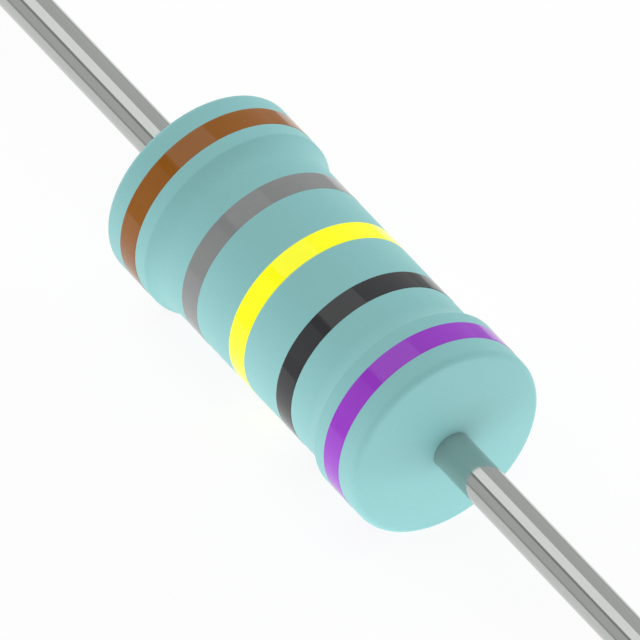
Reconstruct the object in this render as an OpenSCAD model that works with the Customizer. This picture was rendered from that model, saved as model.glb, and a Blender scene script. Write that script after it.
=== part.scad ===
// Axial film resistor with a dip-coated body, five colour bands and two straight lead wires.
// Millimetres. X runs along the body, with the origin at the middle of the body.
// Every piece is turned, so each one is an outline drawn as [distance from the axis, place along it].

/* [Body] */
// Length of the coated body, over the middles of its domed end faces
body_len = 6.53; // [5.93:0.01:9]
// Diameter over the two thick ends
end_d = 3.12; // [2.7:0.01:4]
// How far the thick ends stand out from the barrel, on the radius
end_step = 0.12; // [0.08:0.001:0.18]
// Rounding of the edge between a thick end and its end face
corner_r = 0.12; // [0.05:0.01:0.2]
// Radius of the sphere that an end face is part of
dome_r = 8.2; // [6:0.1:20]
// Length of the sloping shoulder between the barrel and a thick end
shoulder_len = 0.47; // [0.4:0.001:0.7]
// Rounding of the crest, where the shoulder meets the thick end
crest_r = 0.19; // [0.1:0.01:0.4]
// How far the crest lies beyond the rim of the end cap, towards the end face
crest_setback = 0.153; // [0.05:0.001:0.25]

/* [Lacquer coat] */
// Thickness of the lacquer over the film, on the barrel
coat_t = 0.27; // [0.2:0.01:0.35]
// Thickness of the lacquer over the face of an end cap, at its middle
end_coat_t = 0.15; // [0.13:0.01:0.3]

/* [Colour bands] */
// Width of each band
band_w = 0.377; // [0.2:0.001:0.5]
// Thickness of the ink, which is flush with the lacquer
band_t = 0.03; // [0.02:0.01:0.06]
// Bare lacquer between the foot of the shoulder and the nearest band on the barrel
band_to_shoulder = 0.309; // [0.1:0.001:0.4]
// Bare lacquer between an end band and the rounded corner
band_to_corner = 0.265; // [0.05:0.001:0.3]

/* [Lead wires] */
// Diameter of the wire
lead_d = 0.6; // [0.4:0.05:0.8]
// Length of wire that stands out of each end face
lead_len = 28; // [20:0.5:38]
// Bevel round the cut tip of the wire
tip_bevel = 0.04; // [0.02:0.01:0.1]

/* [End caps] */
// Thickness of the sheet steel
cap_wall = 0.18; // [0.12:0.01:0.22]
// Depth of the cup, measured outside
cap_depth = 1.115; // [0.9:0.005:1.2]
// Radius inside the pressed corner of the cup
cap_bend_r = 0.08; // [0.04:0.01:0.11]
// Bevel round the outer edge of the rim
rim_bevel = 0.05; // [0.02:0.01:0.08]
// Height and spread of the weld bead on the face of the cup, round the wire
weld_bead = 0.1; // [0.05:0.01:0.11]

/* [Ceramic rod and film] */
// Chamfer at each end of the rod
rod_chamfer = 0.12; // [0.12:0.01:0.2]
// Thickness that the resistive film is drawn at
film_t = 0.03; // [0.02:0.01:0.05]
// Number of turns of the trimming groove
groove_turns = 5; // [2:0.5:6]
// Width of the trimming groove
groove_w = 0.12; // [0.06:0.01:0.2]
// Uncut film between an end of the groove and the rim of the cap
groove_margin = 0.3; // [0.2:0.01:0.5]

/* [Hidden] */
$fn = 96;
// Steps that an arc of an outline is drawn in
arc_steps = 8;

// Radii, from the skin inwards
end_r = end_d / 2;
barrel_r = end_r - end_step;
film_r = barrel_r - coat_t;
rod_r = film_r - film_t;
cap_r = film_r + cap_wall;
lead_r = lead_d / 2;

// Places along the axis, from the middle of an end face inwards
face_x = body_len / 2;
cap_face_x = face_x - end_coat_t;
rod_end_x = cap_face_x - cap_wall;
rim_x = cap_face_x - cap_depth;
crest_x = rim_x + crest_setback;
foot_x = crest_x - shoulder_len;
tip_x = face_x + lead_len;

// The shoulder is two arcs that run into each other: hollow at its foot and round at its crest
slope = 2 * atan(end_step / shoulder_len);
foot_r = shoulder_len / sin(slope) - crest_r;

// The end face is part of a sphere, and the rounded corner runs into it
dome_x = face_x - dome_r;
corner_x = dome_x + sqrt(pow(dome_r - corner_r, 2) - pow(end_r - corner_r, 2));
dome_start = acos((end_r - corner_r) / (dome_r - corner_r));

// Middles of the bands on one half of the body
end_band_x = corner_x - band_to_corner - band_w / 2;
barrel_band_x = foot_x - band_to_shoulder - band_w / 2;

// The groove is cut by a ribbon that winds round the film and stands through both its faces
groove_half = rim_x - groove_margin - groove_w / 2;
ribbon_over = 0.03;
steps_per_turn = 24;

// Turns an outline about the body's axis
module turned() {
    rotate([0, 90, 0])
        rotate_extrude()
            children();
}

// Draws a thing at the right-hand end, or its mirror image at the left-hand end
module at_end(side) {
    mirror([side < 0 ? 1 : 0, 0, 0])
        children();
}

// Points along an arc, without the first, which ends the line before it
function arc(centre, radius, from, to) = [
    for (i = [1:arc_steps])
        let (angle = from + (to - from) * i / arc_steps)
            centre + radius * [cos(angle), sin(angle)]
];

// An outline of the right-hand half, carried on round its mirror image
function both_halves(half) = concat(
    half,
    [for (i = [len(half) - 1:-1:0]) [half[i][0], -half[i][1]]]
);

// The body's skin: barrel, hollow foot and round crest of the shoulder, thick end, corner, domed face
half_skin = concat(
    [[barrel_r, foot_x]],
    arc([barrel_r + foot_r, foot_x], foot_r, 180, 180 - slope),
    arc([end_r - crest_r, crest_x], crest_r, -slope, 0),
    [[end_r, corner_x]],
    arc([end_r - corner_r, corner_x], corner_r, 0, dome_start),
    arc([0, dome_x], dome_r, dome_start, 90)
);

// One end cap on the outside, from its rim to the top of the weld bead
cap_outside = concat(
    [
        [cap_r - rim_bevel, rim_x],
        [cap_r, rim_x + rim_bevel],
        [cap_r, cap_face_x - cap_bend_r - cap_wall]
    ],
    arc([film_r - cap_bend_r, rod_end_x - cap_bend_r], cap_bend_r + cap_wall, 0, 90),
    [
        [lead_r + weld_bead, cap_face_x],
        [lead_r, cap_face_x + weld_bead]
    ]
);

// The same cap on the inside, from the middle of its floor back to its rim
cap_inside = concat(
    [[film_r - cap_bend_r, rod_end_x]],
    arc([film_r - cap_bend_r, rod_end_x - cap_bend_r], cap_bend_r, 90, 0),
    [[film_r, rim_x]]
);

// The tip of one lead wire
lead_tip = [
    [lead_r, tip_x - tip_bevel],
    [lead_r - tip_bevel, tip_x],
    [0, tip_x]
];

// What the lacquer flows round: film, end cap, weld bead and wire
half_core = concat([[film_r, rim_x]], cap_outside, lead_tip);

// Section of a band, with its middle at a place along the axis
module band_outline(middle, radius) {
    translate([radius - band_t, middle - band_w / 2])
        square([band_t, band_w]);
}

// A band of ink
module band(middle, radius) {
    turned()
        band_outline(middle, radius);
}

// Corners of the ribbon's section at one angle round the film
function ribbon_ring(angle, low, high, middle) = [
    for (corner = [[low, -1], [high, -1], [high, 1], [low, 1]])
        [
            corner[0] * cos(angle),
            corner[0] * sin(angle),
            middle + corner[1] * groove_w / 2
        ]
];

// The ribbon that cuts the trimming groove
module groove_ribbon() {
    steps = round(groove_turns * steps_per_turn);
    points = [
        for (i = [0:steps])
            each ribbon_ring(
                i * 360 / steps_per_turn,
                rod_r - ribbon_over,
                film_r + ribbon_over,
                groove_half * (2 * i / steps - 1)
            )
    ];
    sides = [
        for (i = [0:steps - 1], k = [0:3])
            let (a = 4 * i + k, b = 4 * i + (k + 1) % 4)
                each [[a, b, b + 4], [a, b + 4, a + 4]]
    ];
    last = 4 * steps;
    polyhedron(points, concat(sides, [[3, 2, 1, 0], [last, last + 1, last + 2, last + 3]]));
}

// Skin of the body, hollow for what it covers and seated for the bands
module lacquer_coat() {
    color("#84bdbd")
        turned()
            difference() {
                polygon(both_halves(half_skin));
                polygon(both_halves(half_core));
                band_outline(0, barrel_r);
                for (side = [-1, 1]) {
                    band_outline(side * barrel_band_x, barrel_r);
                    band_outline(side * end_band_x, end_r);
                }
            }
}

module band_1_brown() {
    color("#8a5522")
        band(-end_band_x, end_r);
}

module band_2_grey() {
    color("#828484")
        band(-barrel_band_x, barrel_r);
}

module band_3_yellow() {
    color("#fdfd20")
        band(0, barrel_r);
}

module band_4_black() {
    color("#38393b")
        band(barrel_band_x, barrel_r);
}

module band_5_violet() {
    color("#9440bc")
        band(end_band_x, end_r);
}

// A straight wire, welded to the face of an end cap
module lead_wire(side) {
    color("#c3c7c3")
        at_end(side)
            turned()
                polygon(concat([[0, cap_face_x], [lead_r, cap_face_x]], lead_tip));
}

module lead_wire_left() {
    lead_wire(-1);
}

module lead_wire_right() {
    lead_wire(1);
}

// A pressed cup over the end of the rod, with the weld bead that holds the wire to its face
module end_cap(side) {
    color("#a9adb0")
        at_end(side)
            turned()
                polygon(concat(
                    cap_outside,
                    [[lead_r, cap_face_x], [0, cap_face_x], [0, rod_end_x]],
                    cap_inside
                ));
}

module end_cap_left() {
    end_cap(-1);
}

module end_cap_right() {
    end_cap(1);
}

// The film on the rod, with the trimming groove wound through it
module resistive_film() {
    film_half = rod_end_x - rod_chamfer;
    color("#4b4642")
        rotate([0, 90, 0])
            difference() {
                rotate_extrude()
                    translate([rod_r, -film_half])
                        square([film_t, 2 * film_half]);
                groove_ribbon();
            }
}

// The rod that carries the film
module ceramic_rod() {
    color("#eeeae0")
        turned()
            polygon(both_halves([
                [rod_r, rod_end_x - rod_chamfer],
                [rod_r - rod_chamfer, rod_end_x],
                [0, rod_end_x]
            ]));
}

lacquer_coat();
band_1_brown();
band_2_grey();
band_3_yellow();
band_4_black();
band_5_violet();
lead_wire_left();
lead_wire_right();
end_cap_left();
end_cap_right();
resistive_film();
ceramic_rod();
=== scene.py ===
"""Looks of the axial resistor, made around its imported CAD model.

The body is dip-coated lacquer with five printed rings of ink, and a tinned copper wire leaves each end.
Everything is turned about X, so the visible pieces are turned again here from the CAD model's own sizes,
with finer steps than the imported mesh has. Lengths are in millimetres unless a comment says metres.
"""

import math

import bmesh
import bpy
from mathutils import Euler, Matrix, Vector


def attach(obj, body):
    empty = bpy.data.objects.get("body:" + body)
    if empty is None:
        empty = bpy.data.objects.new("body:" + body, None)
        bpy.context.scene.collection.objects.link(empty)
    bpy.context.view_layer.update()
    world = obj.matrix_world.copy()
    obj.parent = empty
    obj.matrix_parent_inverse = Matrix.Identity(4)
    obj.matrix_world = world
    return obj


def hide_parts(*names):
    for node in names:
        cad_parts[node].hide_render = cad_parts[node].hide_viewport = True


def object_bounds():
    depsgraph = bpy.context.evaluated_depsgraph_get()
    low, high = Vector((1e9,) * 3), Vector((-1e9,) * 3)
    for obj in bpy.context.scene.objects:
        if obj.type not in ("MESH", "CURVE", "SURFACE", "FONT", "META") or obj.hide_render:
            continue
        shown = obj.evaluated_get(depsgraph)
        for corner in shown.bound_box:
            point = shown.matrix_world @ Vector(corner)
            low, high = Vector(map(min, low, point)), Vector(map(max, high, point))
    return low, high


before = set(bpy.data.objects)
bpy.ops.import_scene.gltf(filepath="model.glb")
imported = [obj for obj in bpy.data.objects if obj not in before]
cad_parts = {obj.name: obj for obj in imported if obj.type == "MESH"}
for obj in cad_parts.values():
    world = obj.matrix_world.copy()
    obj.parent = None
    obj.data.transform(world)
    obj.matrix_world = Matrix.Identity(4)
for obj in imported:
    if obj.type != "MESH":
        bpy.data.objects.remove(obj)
cad_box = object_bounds()

MM = 0.001

# Sizes of the CAD model
BODY_LEN = 6.53
END_D = 3.12
END_STEP = 0.12
CORNER_R = 0.12
DOME_R = 8.2
SHOULDER_LEN = 0.47
CREST_SETBACK = 0.153
COAT_T = 0.27
END_COAT_T = 0.15
BAND_W = 0.377
BAND_T = 0.03
BAND_TO_SHOULDER = 0.309
BAND_TO_CORNER = 0.265
LEAD_D = 0.6
LEAD_LEN = 28.0
TIP_BEVEL = 0.04
WELD_BEAD = 0.1
CAP_WALL = 0.18
CAP_DEPTH = 1.115
CAP_BEND_R = 0.08
RIM_BEVEL = 0.05

# Radii, from the skin inwards
END_R = END_D / 2
BARREL_R = END_R - END_STEP
FILM_R = BARREL_R - COAT_T
CAP_R = FILM_R + CAP_WALL
LEAD_R = LEAD_D / 2

# Places along X, from the middle of an end face inwards, and the angles at which its dome starts and ends
FACE_X = BODY_LEN / 2
DOME_X = FACE_X - DOME_R
CORNER_X = DOME_X + math.sqrt((DOME_R - CORNER_R) ** 2 - (END_R - CORNER_R) ** 2)
DOME_START = math.degrees(math.acos((END_R - CORNER_R) / (DOME_R - CORNER_R)))
DOME_END = math.degrees(math.acos(LEAD_R / DOME_R))
CAP_FACE_X = FACE_X - END_COAT_T
RIM_X = CAP_FACE_X - CAP_DEPTH
CREST_X = RIM_X + CREST_SETBACK
FOOT_X = CREST_X - SHOULDER_LEN
TIP_X = FACE_X + LEAD_LEN
END_BAND_X = CORNER_X - BAND_TO_CORNER - BAND_W / 2
BARREL_BAND_X = FOOT_X - BAND_TO_SHOULDER - BAND_W / 2

# The shoulders are drawn as the photograph shows them, a little steeper and crisper at their crests than in
# the CAD model. The two outlines are nowhere more than 0.03 mm apart.
SEEN_SHOULDER_LEN = 0.36
SEEN_CREST_R = 0.05
SEEN_FOOT_X = CREST_X - SEEN_SHOULDER_LEN
SLOPE = 2 * math.atan(END_STEP / SEEN_SHOULDER_LEN)
SEEN_FOOT_R = SEEN_SHOULDER_LEN / math.sin(SLOPE) - SEEN_CREST_R

# Ink stands this far out of the lacquer, and its edge is rounded over this width
INK_RISE = 0.004
INK_EDGE = 0.02

# Steps in each arc of an outline
FOOT_STEPS = 20
CREST_STEPS = 12
CORNER_STEPS = 16
DOME_STEPS = 16
CAP_BEND_STEPS = 10
TIP_STEPS = 8
INK_EDGE_STEPS = 6

# Steps round the axis, the longest step along it, and the angle from which an edge is drawn sharp
BODY_STEPS_ROUND = 256
WIRE_STEPS_ROUND = 128
BODY_LONGEST_STEP = 0.25
WIRE_LONGEST_STEP = 0.5
SHARP_FROM = math.radians(35)


# Outlines and turned meshes


def arc(centre, radius, start, end, steps):
    """Points along an arc, in degrees, without its first point, which ends the line before it."""
    angles = [math.radians(start + (end - start) * i / steps) for i in range(1, steps + 1)]
    return [(centre[0] + radius * math.cos(a), centre[1] + radius * math.sin(a)) for a in angles]


def mirrored(outline):
    """The same outline on the other half of the body, run through backwards."""
    return [(radius, -along) for radius, along in reversed(outline)]


def finely(outline, longest):
    """The closed outline with its long lines along the body split into even steps."""
    points = []
    for here, there in zip(outline, outline[1:] + outline[:1]):
        length = math.dist(here, there)
        on_axis = here[0] == there[0] == 0
        steps = 1 if on_axis else max(1, math.ceil(length / longest))
        for i in range(steps):
            points.append(tuple(a + (b - a) * i / steps for a, b in zip(here, there)))
    return points


def turned(name, outline, steps):
    """A closed piece turned about X from an outline of points, each (radius, place along X)."""
    mesh = bpy.data.meshes.new(name)
    form = bmesh.new()
    turns = [(math.cos(math.tau * i / steps), math.sin(math.tau * i / steps)) for i in range(steps)]
    rings = []
    for radius, along in outline:
        if radius == 0:
            rings.append([form.verts.new((along * MM, 0, 0))] * steps)
        else:
            places = [Vector((along, radius * c, radius * s)) * MM for c, s in turns]
            rings.append([form.verts.new(place) for place in places])
    for ring, after in zip(rings, rings[1:] + rings[:1]):
        for i in range(steps):
            j = (i + 1) % steps
            corners = list(dict.fromkeys([ring[i], ring[j], after[j], after[i]]))
            if len(corners) > 2:
                form.faces.new(corners)
    bmesh.ops.recalc_face_normals(form, faces=form.faces)
    form.to_mesh(mesh)
    form.free()
    mesh.shade_smooth()
    mesh.set_sharp_from_angle(angle=SHARP_FROM)
    piece = bpy.data.objects.new(name, mesh)
    bpy.context.scene.collection.objects.link(piece)
    return piece


def seat(middle, radius):
    """The seat of one ring of ink in the lacquer: two corners at the skin and two at its floor."""
    low, high = middle - BAND_W / 2, middle + BAND_W / 2
    floor = radius - BAND_T
    return [(radius, low), (floor, low), (floor, high), (radius, high)]


def coat_outline():
    """The lacquer: its skin with the seats of the inks, then the hollow for what it covers."""
    slope = math.degrees(SLOPE)
    half_skin = [
        *seat(BARREL_BAND_X, BARREL_R),
        (BARREL_R, SEEN_FOOT_X),
        *arc((BARREL_R + SEEN_FOOT_R, SEEN_FOOT_X), SEEN_FOOT_R, 180, 180 - slope, FOOT_STEPS),
        *arc((END_R - SEEN_CREST_R, CREST_X), SEEN_CREST_R, -slope, 0, CREST_STEPS),
        *seat(END_BAND_X, END_R),
        (END_R, CORNER_X),
        *arc((END_R - CORNER_R, CORNER_X), CORNER_R, 0, DOME_START, CORNER_STEPS),
        *arc((0, DOME_X), DOME_R, DOME_START, DOME_END, DOME_STEPS),
    ]
    bend = (FILM_R - CAP_BEND_R, CAP_FACE_X - CAP_WALL - CAP_BEND_R)
    half_hollow = [
        (LEAD_R, CAP_FACE_X + WELD_BEAD),
        (LEAD_R + WELD_BEAD, CAP_FACE_X),
        *reversed(arc(bend, CAP_BEND_R + CAP_WALL, 0, 90, CAP_BEND_STEPS)),
        (CAP_R, bend[1]),
        (CAP_R, RIM_X + RIM_BEVEL),
        (CAP_R - RIM_BEVEL, RIM_X),
        (FILM_R, RIM_X),
    ]
    return [
        *mirrored(half_skin),
        *seat(0, BARREL_R),
        *half_skin,
        *half_hollow,
        *mirrored(half_hollow),
    ]


def ink_outline(middle, radius):
    """One ring of ink: flat where it lies in its seat, softly raised at its face."""
    low, high = middle - BAND_W / 2, middle + BAND_W / 2
    floor = radius - BAND_T
    edge = [math.radians(90 * i / INK_EDGE_STEPS) for i in range(1, INK_EDGE_STEPS + 1)]
    rise = [(radius + INK_RISE * math.sin(a), low + INK_EDGE * (1 - math.cos(a))) for a in edge]
    fall = [(r, 2 * middle - x) for r, x in reversed(rise)]
    return [(floor, low), (radius, low), *rise, *fall, (radius, high), (floor, high)]


def lead_outline(side):
    """One wire, from its weld in the lacquer to its cut tip, whose edge is rounded."""
    right = [
        (0, CAP_FACE_X),
        (LEAD_R, CAP_FACE_X),
        (LEAD_R, TIP_X - TIP_BEVEL),
        *arc((LEAD_R - TIP_BEVEL, TIP_X - TIP_BEVEL), TIP_BEVEL, 0, 90, TIP_STEPS),
        (0, TIP_X),
    ]
    return right if side > 0 else mirrored(right)


# Materials

# The Mix node's sockets for two colours and for what it makes of them go by number
MIX_A, MIX_B, MIXED = 6, 7, 2


def srgb(code):
    """A colour written as sRGB hex, turned to the linear values that the shader takes."""
    channels = [int(code[i : i + 2], 16) / 255 for i in (1, 3, 5)]
    linear = [c / 12.92 if c <= 0.04045 else ((c + 0.055) / 1.055) ** 2.4 for c in channels]
    return (*linear, 1.0)


def add_node(tree, kind, inputs, **settings):
    """Adds one node. Its inputs are plain values or other nodes' outputs."""
    made = tree.nodes.new("ShaderNode" + kind)
    for name, value in settings.items():
        setattr(made, name, value)
    for name, value in inputs.items():
        if isinstance(value, bpy.types.NodeSocket):
            tree.links.new(value, made.inputs[name])
        else:
            made.inputs[name].default_value = value
    return made


def emptied(holder):
    """The node tree of a material or a world, without the nodes that it starts with."""
    holder.use_nodes = True
    holder.node_tree.nodes.clear()
    return holder.node_tree


def new_material(name):
    """An empty material, its node tree, and the place on the piece in millimetres."""
    material = bpy.data.materials.new(name)
    tree = emptied(material)
    place = add_node(tree, "TexCoord", {}).outputs["Object"]
    in_mm = add_node(tree, "VectorMath", {0: place, "Scale": 1 / MM}, operation="SCALE")
    return material, tree, in_mm.outputs["Vector"]


def dipped_lacquer():
    """Dip-coated epoxy lacquer: satin, even in colour, with a faint orange peel from its curing."""
    material, tree, place = new_material("epoxy_lacquer_dipped")
    # Grains of pigment are finer than 0.005 mm, and are drawn as specks of 0.03 mm so that they show
    cloud_size, peel_size, speck_size = 1.4, 0.28, 0.03
    cloud = add_node(tree, "TexNoise", {"Vector": place, "Scale": 1 / cloud_size}).outputs["Fac"]
    peel = add_node(tree, "TexNoise", {"Vector": place, "Scale": 1 / peel_size}).outputs["Fac"]
    pigment = add_node(tree, "TexNoise", {"Vector": place, "Scale": 1 / speck_size}).outputs["Fac"]
    tone = add_node(
        tree, "Mix", {0: cloud, MIX_A: srgb("#7ab0b1"), MIX_B: srgb("#7db4b4")}, data_type="RGBA"
    )
    speck = add_node(
        tree, "MapRange", {"Value": pigment, "From Min": 0.35, "From Max": 0.65, "To Max": 0.12}
    )
    colour = add_node(
        tree,
        "Mix",
        {0: speck.outputs["Result"], MIX_A: tone.outputs[MIXED], MIX_B: srgb("#94c5c4")},
        data_type="RGBA",
    )
    gloss = add_node(tree, "MapRange", {"Value": cloud, "To Min": 0.46, "To Max": 0.54})
    bump = add_node(tree, "Bump", {"Strength": 0.35, "Distance": 0.004 * MM, "Height": peel})
    surface = add_node(
        tree,
        "BsdfPrincipled",
        {
            "Base Color": colour.outputs[MIXED],
            "Roughness": gloss.outputs["Result"],
            "IOR": 1.44,
            "Normal": bump.outputs["Normal"],
        },
    )
    add_node(tree, "OutputMaterial", {"Surface": surface.outputs["BSDF"]})
    return material


def printed_ink(name, thick, thin):
    """Glossy printed ink: a hard, clear shine over a colour that runs in faint streaks round the body."""
    material, tree, place = new_material(name)
    # The wheel's streaks are about 0.01 mm wide, and are drawn 0.035 mm wide so that they show
    streak_size, streak_run = 0.035, (1, 0.06, 0.06)
    laid = add_node(tree, "VectorMath", {0: place, 1: streak_run}, operation="MULTIPLY")
    streaks = add_node(
        tree,
        "TexNoise",
        {"Vector": laid.outputs["Vector"], "Scale": 1 / streak_size, "Detail": 3.0},
    ).outputs["Fac"]
    colour = add_node(tree, "Mix", {0: streaks, MIX_A: srgb(thick), MIX_B: srgb(thin)}, data_type="RGBA")
    gloss = add_node(tree, "MapRange", {"Value": streaks, "To Min": 0.03, "To Max": 0.08})
    bump = add_node(tree, "Bump", {"Strength": 0.1, "Distance": 0.001 * MM, "Height": streaks})
    surface = add_node(
        tree,
        "BsdfPrincipled",
        {
            "Base Color": colour.outputs[MIXED],
            "Roughness": gloss.outputs["Result"],
            "IOR": 1.43,
            "Normal": bump.outputs["Normal"],
        },
    )
    add_node(tree, "OutputMaterial", {"Surface": surface.outputs["BSDF"]})
    return material


def tinned_wire():
    """Tinned copper, drawn: bright under a thin dull skin of oxide, with hair-fine lines from the die."""
    material, tree, place = new_material("tin_on_drawn_copper")
    # The die's lines are some 0.003 mm wide, and are drawn 0.02 mm wide so that they show. The tin lies a
    # little uneven, in clouds of 0.4 mm that run along the wire.
    line_size, line_run = 0.02, (0.03, 1, 1)
    cloud_size, cloud_run = 0.4, (0.3, 1, 1)
    drawn = add_node(tree, "VectorMath", {0: place, 1: line_run}, operation="MULTIPLY")
    lines = add_node(
        tree,
        "TexNoise",
        {"Vector": drawn.outputs["Vector"], "Scale": 1 / line_size, "Detail": 3.0},
    ).outputs["Fac"]
    flowed = add_node(tree, "VectorMath", {0: place, 1: cloud_run}, operation="MULTIPLY")
    cloud = add_node(
        tree, "TexNoise", {"Vector": flowed.outputs["Vector"], "Scale": 1 / cloud_size}
    ).outputs["Fac"]
    colour = add_node(
        tree, "Mix", {0: lines, MIX_A: srgb("#b6b9b6"), MIX_B: srgb("#bec1be")}, data_type="RGBA"
    )
    gloss = add_node(tree, "MapRange", {"Value": cloud, "To Min": 0.05, "To Max": 0.09})
    bump = add_node(tree, "Bump", {"Strength": 0.1, "Distance": 0.0006 * MM, "Height": lines})
    surface = add_node(
        tree,
        "BsdfPrincipled",
        {
            "Base Color": colour.outputs[MIXED],
            "Metallic": 0.9,
            "Roughness": gloss.outputs["Result"],
            "Normal": bump.outputs["Normal"],
        },
    )
    add_node(tree, "OutputMaterial", {"Surface": surface.outputs["BSDF"]})
    return material


def pressed_steel():
    """Tin-plated steel sheet, pressed: satin, drawn a little along the cup's wall by the press."""
    material, tree, place = new_material("plated_steel_pressed")
    # The press leaves lines some 0.01 mm wide, which are drawn 0.03 mm wide so that they show
    line_size, line_run = 0.03, (0.15, 1, 1)
    drawn = add_node(tree, "VectorMath", {0: place, 1: line_run}, operation="MULTIPLY")
    lines = add_node(
        tree,
        "TexNoise",
        {"Vector": drawn.outputs["Vector"], "Scale": 1 / line_size, "Detail": 3.0},
    ).outputs["Fac"]
    colour = add_node(
        tree, "Mix", {0: lines, MIX_A: srgb("#b4b6b8"), MIX_B: srgb("#c6c8ca")}, data_type="RGBA"
    )
    gloss = add_node(tree, "MapRange", {"Value": lines, "To Min": 0.25, "To Max": 0.4})
    bump = add_node(tree, "Bump", {"Strength": 0.3, "Distance": 0.002 * MM, "Height": lines})
    surface = add_node(
        tree,
        "BsdfPrincipled",
        {
            "Base Color": colour.outputs[MIXED],
            "Metallic": 1.0,
            "Roughness": gloss.outputs["Result"],
            "Normal": bump.outputs["Normal"],
        },
    )
    add_node(tree, "OutputMaterial", {"Surface": surface.outputs["BSDF"]})
    return material


def sputtered_film():
    """Nickel-chromium film, sputtered: dark grey, with the grain of the ceramic under it."""
    material, tree, place = new_material("nickel_chromium_film_sputtered")
    # The ceramic's grain is some 0.005 mm, and is drawn as 0.02 mm so that it shows
    grain_size = 0.02
    grain = add_node(tree, "TexNoise", {"Vector": place, "Scale": 1 / grain_size}).outputs["Fac"]
    colour = add_node(
        tree, "Mix", {0: grain, MIX_A: srgb("#5c5753"), MIX_B: srgb("#6f6a65")}, data_type="RGBA"
    )
    gloss = add_node(tree, "MapRange", {"Value": grain, "To Min": 0.35, "To Max": 0.55})
    bump = add_node(tree, "Bump", {"Strength": 0.3, "Distance": 0.002 * MM, "Height": grain})
    surface = add_node(
        tree,
        "BsdfPrincipled",
        {
            "Base Color": colour.outputs[MIXED],
            "Metallic": 1.0,
            "Roughness": gloss.outputs["Result"],
            "Normal": bump.outputs["Normal"],
        },
    )
    add_node(tree, "OutputMaterial", {"Surface": surface.outputs["BSDF"]})
    return material


def ground_alumina():
    """Alumina, fired and ground: chalky off-white, with rings from the grinding wheel."""
    material, tree, place = new_material("alumina_ground")
    # The grain is some 0.005 mm, and is drawn as 0.015 mm so that it shows. The rings are as wide as the
    # wheel's grit.
    grain_size = 0.015
    ring_size, ring_run = 0.04, (1, 0.08, 0.08)
    grain = add_node(tree, "TexNoise", {"Vector": place, "Scale": 1 / grain_size}).outputs["Fac"]
    ground = add_node(tree, "VectorMath", {0: place, 1: ring_run}, operation="MULTIPLY")
    rings = add_node(
        tree,
        "TexNoise",
        {"Vector": ground.outputs["Vector"], "Scale": 1 / ring_size, "Detail": 3.0},
    ).outputs["Fac"]
    colour = add_node(
        tree, "Mix", {0: grain, MIX_A: srgb("#e9e5da"), MIX_B: srgb("#f3f0e8")}, data_type="RGBA"
    )
    gloss = add_node(tree, "MapRange", {"Value": rings, "To Min": 0.6, "To Max": 0.75})
    bump = add_node(tree, "Bump", {"Strength": 0.3, "Distance": 0.003 * MM, "Height": rings})
    surface = add_node(
        tree,
        "BsdfPrincipled",
        {
            "Base Color": colour.outputs[MIXED],
            "Roughness": gloss.outputs["Result"],
            "IOR": 1.77,
            "Normal": bump.outputs["Normal"],
        },
    )
    add_node(tree, "OutputMaterial", {"Surface": surface.outputs["BSDF"]})
    return material


# The pieces

INKS = [
    # node, slot, middle, radius, colour where thick, colour where thin
    ("band_1_brown", "ink_brown", -END_BAND_X, END_R, "#844c03", "#8c5308"),
    ("band_2_grey", "ink_grey", -BARREL_BAND_X, BARREL_R, "#797b7b", "#808181"),
    ("band_3_yellow", "ink_yellow", 0, BARREL_R, "#fffe06", "#fffe12"),
    ("band_4_black", "ink_black", BARREL_BAND_X, BARREL_R, "#2a2a2b", "#2f3032"),
    ("band_5_violet", "ink_violet", END_BAND_X, END_R, "#8a2eb4", "#9034ba"),
]


def dress(piece, node, material):
    """Puts a fine piece in the place of its CAD node."""
    piece.data.materials.append(material)
    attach(piece, "root")
    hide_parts(node)


def make_pieces():
    """The lacquer, the inks and the wires, each in place of its CAD node."""
    coat = turned("lacquer_coat_fine", finely(coat_outline(), BODY_LONGEST_STEP), BODY_STEPS_ROUND)
    dress(coat, "lacquer_coat", dipped_lacquer())
    for node, slot, middle, radius, thick, thin in INKS:
        ring = turned(node + "_fine", ink_outline(middle, radius), BODY_STEPS_ROUND)
        dress(ring, node, printed_ink(slot + "_printed", thick, thin))
    tin = tinned_wire()
    for side, node in ((-1, "lead_wire_left"), (1, "lead_wire_right")):
        wire = turned(node + "_fine", finely(lead_outline(side), WIRE_LONGEST_STEP), WIRE_STEPS_ROUND)
        dress(wire, node, tin)


def paint_inside():
    """Finishes of the CAD nodes that the lacquer hides."""
    steel = pressed_steel()
    inside = {
        "end_cap_left": steel,
        "end_cap_right": steel,
        "resistive_film": sputtered_film(),
        "ceramic_rod": ground_alumina(),
    }
    for node, material in inside.items():
        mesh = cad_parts[node].data
        mesh.materials.clear()
        mesh.materials.append(material)


# The floor

# Side of the floor, in metres
FLOOR_SIDE = 0.8
# Share of even white in the floor that is seen. The rest is paint, which keeps the object's shadow.
SEEN_WHITE = 0.9
# Light that the floor gives the sides of the object, as a room full of pale surfaces does
THROWN_BACK = 1.56
# Under the object lies a strip of white paper. These are half its width, and how light the table beside it
# shows in gloss.
PAPER_HALF = 7.8
TABLE_SEEN = 0.42


def stage_plane(name, corners):
    """One rectangle that belongs to the stage, from its corners in metres."""
    mesh = bpy.data.meshes.new(name)
    mesh.from_pydata(corners, [], [(0, 1, 2, 3)])
    plane = bpy.data.objects.new(name, mesh)
    bpy.context.scene.collection.objects.link(plane)
    return plane


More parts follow.
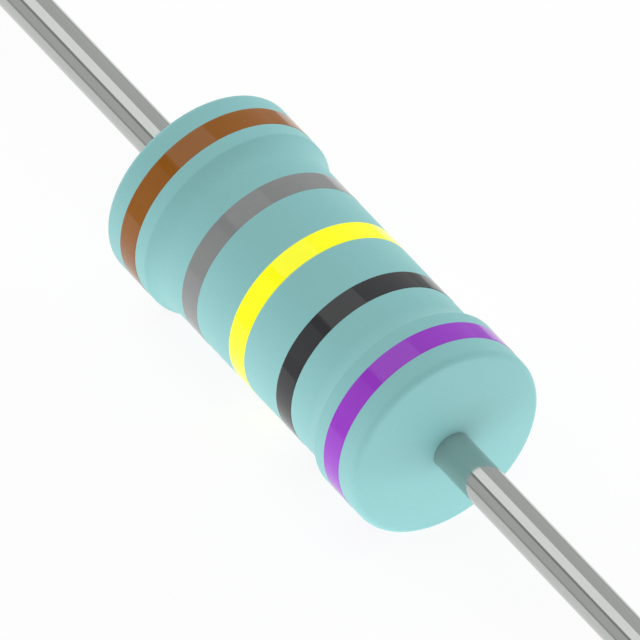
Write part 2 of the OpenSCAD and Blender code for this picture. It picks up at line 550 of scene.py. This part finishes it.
def pale_paper():
    """Matt white paper: it looks white and keeps some shadow. Only gloss shows the table beside it."""
    material, tree, place = new_material("floor_pale")
    ray = add_node(tree, "LightPath", {}).outputs
    looked_at = add_node(
        tree, "Math", {0: ray["Is Camera Ray"], 1: ray["Is Glossy Ray"]}, operation="MAXIMUM"
    )
    seen = add_node(
        tree, "Math", {0: looked_at.outputs[0], 1: ray["Is Transmission Ray"]}, operation="MAXIMUM"
    )
    share = add_node(tree, "Math", {0: seen.outputs[0], 1: SEEN_WHITE}, operation="MULTIPLY")
    paint = add_node(tree, "BsdfDiffuse", {"Color": srgb("#f2f2f2")})
    thrown = add_node(tree, "Math", {0: ray["Is Diffuse Ray"], 1: THROWN_BACK}, operation="MULTIPLY")
    glow = add_node(tree, "Emission", {"Strength": thrown.outputs[0]})
    lit = add_node(tree, "AddShader", {0: paint.outputs[0], 1: glow.outputs[0]})
    across = add_node(tree, "SeparateXYZ", {"Vector": place}).outputs["Y"]
    off_middle = add_node(tree, "Math", {0: across}, operation="ABSOLUTE")
    table = add_node(tree, "Math", {0: off_middle.outputs[0], 1: PAPER_HALF}, operation="GREATER_THAN")
    table_in_gloss = add_node(
        tree, "Math", {0: table.outputs[0], 1: ray["Is Glossy Ray"]}, operation="MULTIPLY"
    )
    level = add_node(
        tree, "MapRange", {"Value": table_in_gloss.outputs[0], "To Min": 1.0, "To Max": TABLE_SEEN}
    )
    white = add_node(tree, "Emission", {"Strength": level.outputs["Result"]})
    both = add_node(tree, "MixShader", {0: share.outputs[0], 1: lit.outputs[0], 2: white.outputs[0]})
    add_node(tree, "OutputMaterial", {"Surface": both.outputs[0]})
    return material


def make_floor():
    """A plain pale floor, on which the thick ends lie."""
    half = FLOOR_SIDE / 2
    low = cad_box[0].z
    corners = [(-half, -half, low), (half, -half, low), (half, half, low), (-half, half, low)]
    stage_plane("floor", corners).data.materials.append(pale_paper())


# The light, with lengths in metres

# A long softbox along the wires, overhead: its height, its length, the middle of that, the angle at which it
# hangs, in degrees up from the right side, and the angle to each of its long edges, seen from the wires
SOFTBOX_HEIGHT = 0.3
SOFTBOX_LEN = 0.9
SOFTBOX_MIDDLE_X = -0.3
SOFTBOX_LEAN = 98.5
SOFTBOX_REACH = 24
# Watts for each square metre of the softbox
SOFTBOX_POWER = 2.05
# Strength of the even grey room
ROOM = 0.62
# Angles of the grey card's edges, up from the right side, and its level
CARD_EDGES = (124.5, 136)
CARD_GREY = 0.3
# Fills that no gloss shows: their distance and side
FILL_DISTANCE = 0.4
FILL_SIDE = 0.25
FILLS = [
    # name, direction that it stands in, watts
    ("right_low", (0, 1, 0.25), 0.7),
    ("back_high", (-0.8, 0, 0.6), 0.28),
    ("left_low", (-0.6, -1, 0.1), 0.09),
]


def around(angle):
    """Y and Z of a place at the softbox's distance from the wires, at an angle up from the right side."""
    turn = math.radians(angle)
    return (SOFTBOX_HEIGHT * math.cos(turn), SOFTBOX_HEIGHT * math.sin(turn))


def lamp(name, place, turn, size, watts):
    """A soft rectangular lamp, out of the camera's sight. Its size is (along its X, along its Y)."""
    data = bpy.data.lights.new(name, "AREA")
    data.shape = "RECTANGLE"
    data.size, data.size_y = size
    data.energy = watts
    made = bpy.data.objects.new(name, data)
    made.location = place
    made.rotation_mode = "QUATERNION"
    made.rotation_quaternion = turn
    made.visible_camera = False
    bpy.context.scene.collection.objects.link(made)
    return made


def hang_softbox():
    """The softbox, with its face towards the wires. It shows in the gloss of ink and tin."""
    lean = math.radians(SOFTBOX_LEAN)
    width = 2 * SOFTBOX_HEIGHT * math.tan(math.radians(SOFTBOX_REACH))
    place = Vector((SOFTBOX_MIDDLE_X, *around(SOFTBOX_LEAN)))
    turn = Euler((lean - math.pi / 2, 0, 0)).to_quaternion()
    lamp("softbox", place, turn, (SOFTBOX_LEN, width), SOFTBOX_POWER * width * SOFTBOX_LEN)


def hang_grey_card():
    """A grey card along one side of the softbox. Only gloss shows it, as a dark line down each wire."""
    low, high = [around(angle) for angle in CARD_EDGES]
    left, right = SOFTBOX_MIDDLE_X - SOFTBOX_LEN / 2, SOFTBOX_MIDDLE_X + SOFTBOX_LEN / 2
    card = stage_plane("grey_card", [(left, *low), (right, *low), (right, *high), (left, *high)])
    card.visible_camera = False
    card.visible_diffuse = False
    card.visible_shadow = False
    card.visible_transmission = False
    material = bpy.data.materials.new("grey_card")
    tree = emptied(material)
    grey = add_node(tree, "Emission", {"Strength": CARD_GREY})
    add_node(tree, "OutputMaterial", {"Surface": grey.outputs[0]})
    card.data.materials.append(material)


def light_scene():
    """An even grey room, the softbox with its grey card, and soft fills that no gloss shows."""
    world = bpy.data.worlds.new("room")
    tree = emptied(world)
    grey = add_node(tree, "Background", {"Color": srgb("#ffffff"), "Strength": ROOM})
    add_node(tree, "OutputWorld", {"Surface": grey.outputs[0]})
    bpy.context.scene.world = world
    hang_softbox()
    hang_grey_card()
    for name, way, watts in FILLS:
        way = Vector(way).normalized()
        size = (FILL_SIDE, FILL_SIDE)
        fill = lamp(name, way * FILL_DISTANCE, way.to_track_quat("Z", "Y"), size, watts)
        fill.visible_glossy = False


# The camera

# Side of the photograph, in pixels, and of one pixel on the object, in metres
PHOTO_SIDE = 640
PIXEL = 0.013962 * MM
# Direction of sight, in degrees: round from the -Y side towards +X, and up
SIGHT_AZIMUTH = 56.345
SIGHT_ELEVATION = 44.45
# How far the middle of the body lies right of and above the middle of the picture, in pixels
BODY_MIDDLE_PX = (2.38, 6.23)
# Distance from the body and the two clip distances, in metres
CAMERA_DISTANCE = 0.1
CLIP_START = 0.001
CLIP_END = 10


def make_camera():
    """The photograph's view: no perspective, from above the end with the violet ring."""
    azimuth, elevation = math.radians(SIGHT_AZIMUTH), math.radians(SIGHT_ELEVATION)
    back = Vector(
        (
            math.sin(azimuth) * math.cos(elevation),
            -math.cos(azimuth) * math.cos(elevation),
            math.sin(elevation),
        )
    )
    data = bpy.data.cameras.new("camera")
    data.type = "ORTHO"
    data.ortho_scale = PHOTO_SIDE * PIXEL
    data.clip_start = CLIP_START
    data.clip_end = CLIP_END
    camera = bpy.data.objects.new("camera", data)
    camera.rotation_mode = "QUATERNION"
    camera.rotation_quaternion = (-back).to_track_quat("-Z", "Y")
    right = camera.rotation_quaternion @ Vector((1, 0, 0))
    up = camera.rotation_quaternion @ Vector((0, 1, 0))
    aim = -(right * BODY_MIDDLE_PX[0] + up * BODY_MIDDLE_PX[1]) * PIXEL
    camera.location = aim + back * CAMERA_DISTANCE
    bpy.context.scene.collection.objects.link(camera)
    bpy.context.scene.camera = camera


make_pieces()
paint_inside()
make_floor()
light_scene()
make_camera()
bpy.context.scene.view_settings.view_transform = "Standard"
